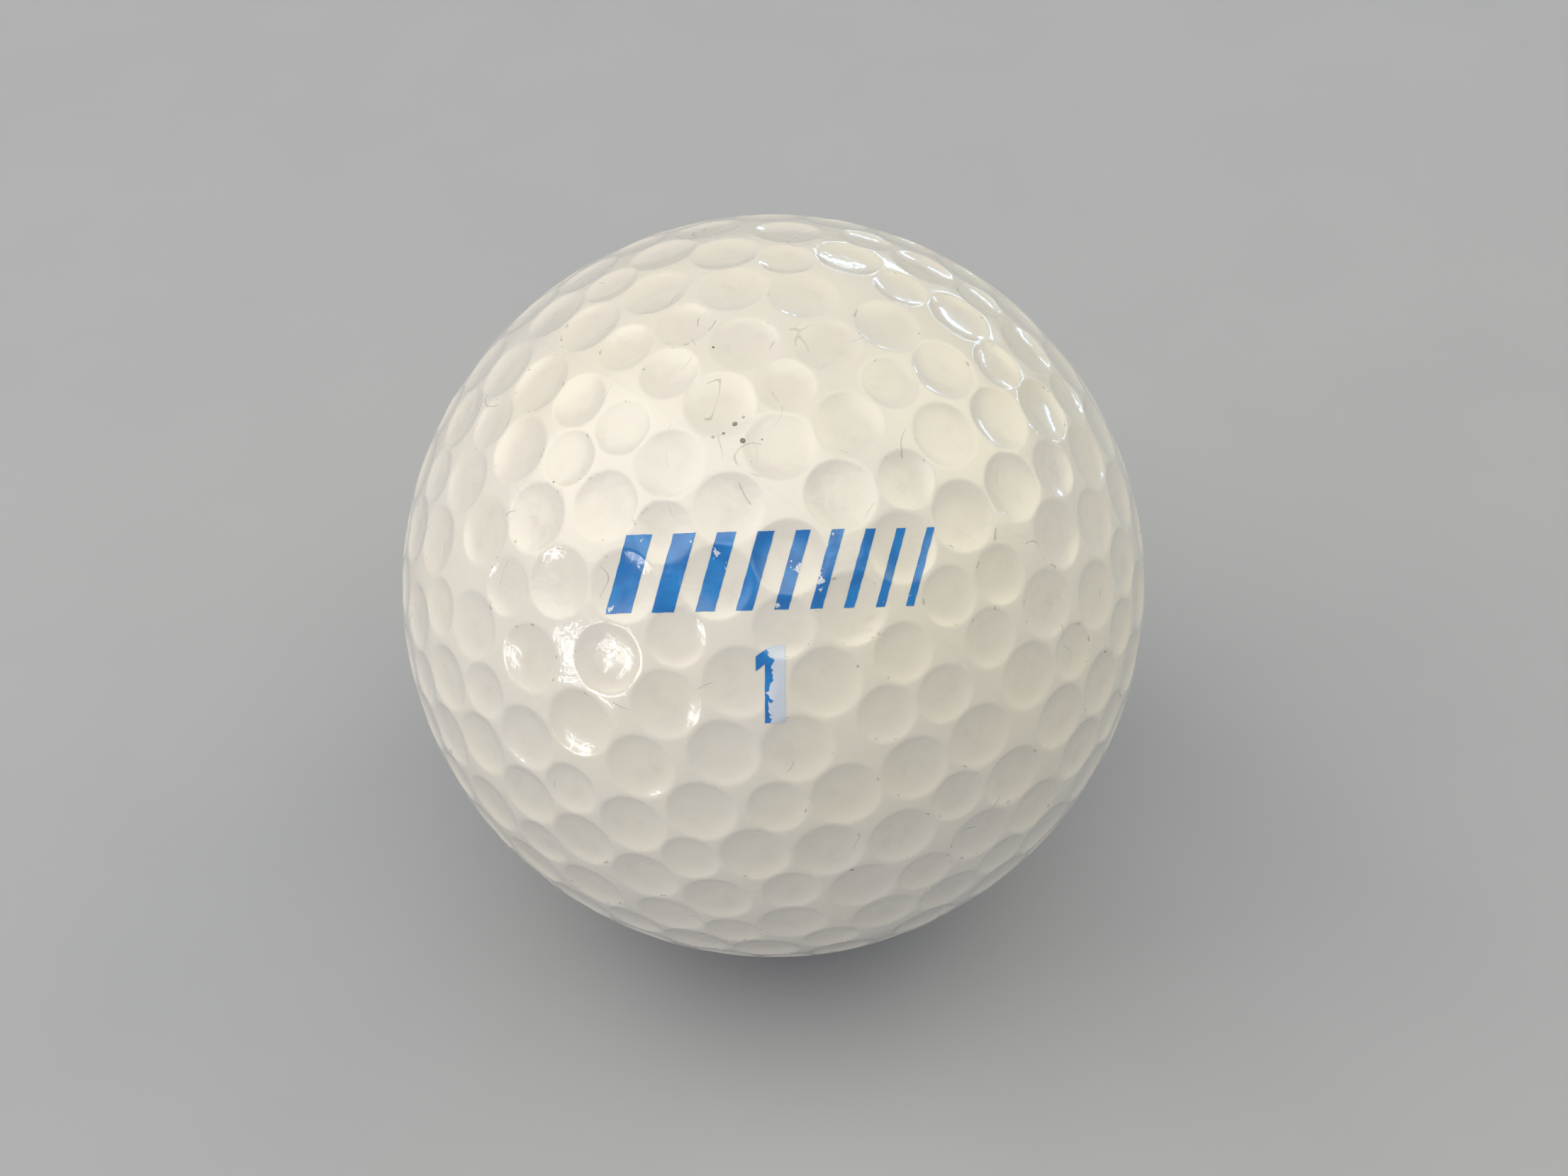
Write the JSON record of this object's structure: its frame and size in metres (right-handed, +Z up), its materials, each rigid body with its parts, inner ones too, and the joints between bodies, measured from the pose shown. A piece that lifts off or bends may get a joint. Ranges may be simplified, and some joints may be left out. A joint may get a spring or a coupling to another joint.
{
  "type": "golf ball",
  "caption": "Golf ball with a solid rubber core in a dimpled plastic cover moulded as two half cups that meet at a plain parting line; shallow round dimples in two sizes",
  "frame": {"origin": "centre of the ball", "axes": "+Z up as the ball lies, -Y forward towards the side that carries the play number, +X to the right seen from the front"},
  "size_m": [0.0426, 0.0426, 0.0426],
  "materials": {
    "cover": "glossy clear-coated ionomer, slightly yellowed",
    "core": "matt moulded rubber"
  },
  "bodies": {
    "root": {"core": "core", "cover_cup_front": "cover", "cover_cup_rear": "cover"}
  },
  "joints": []
}
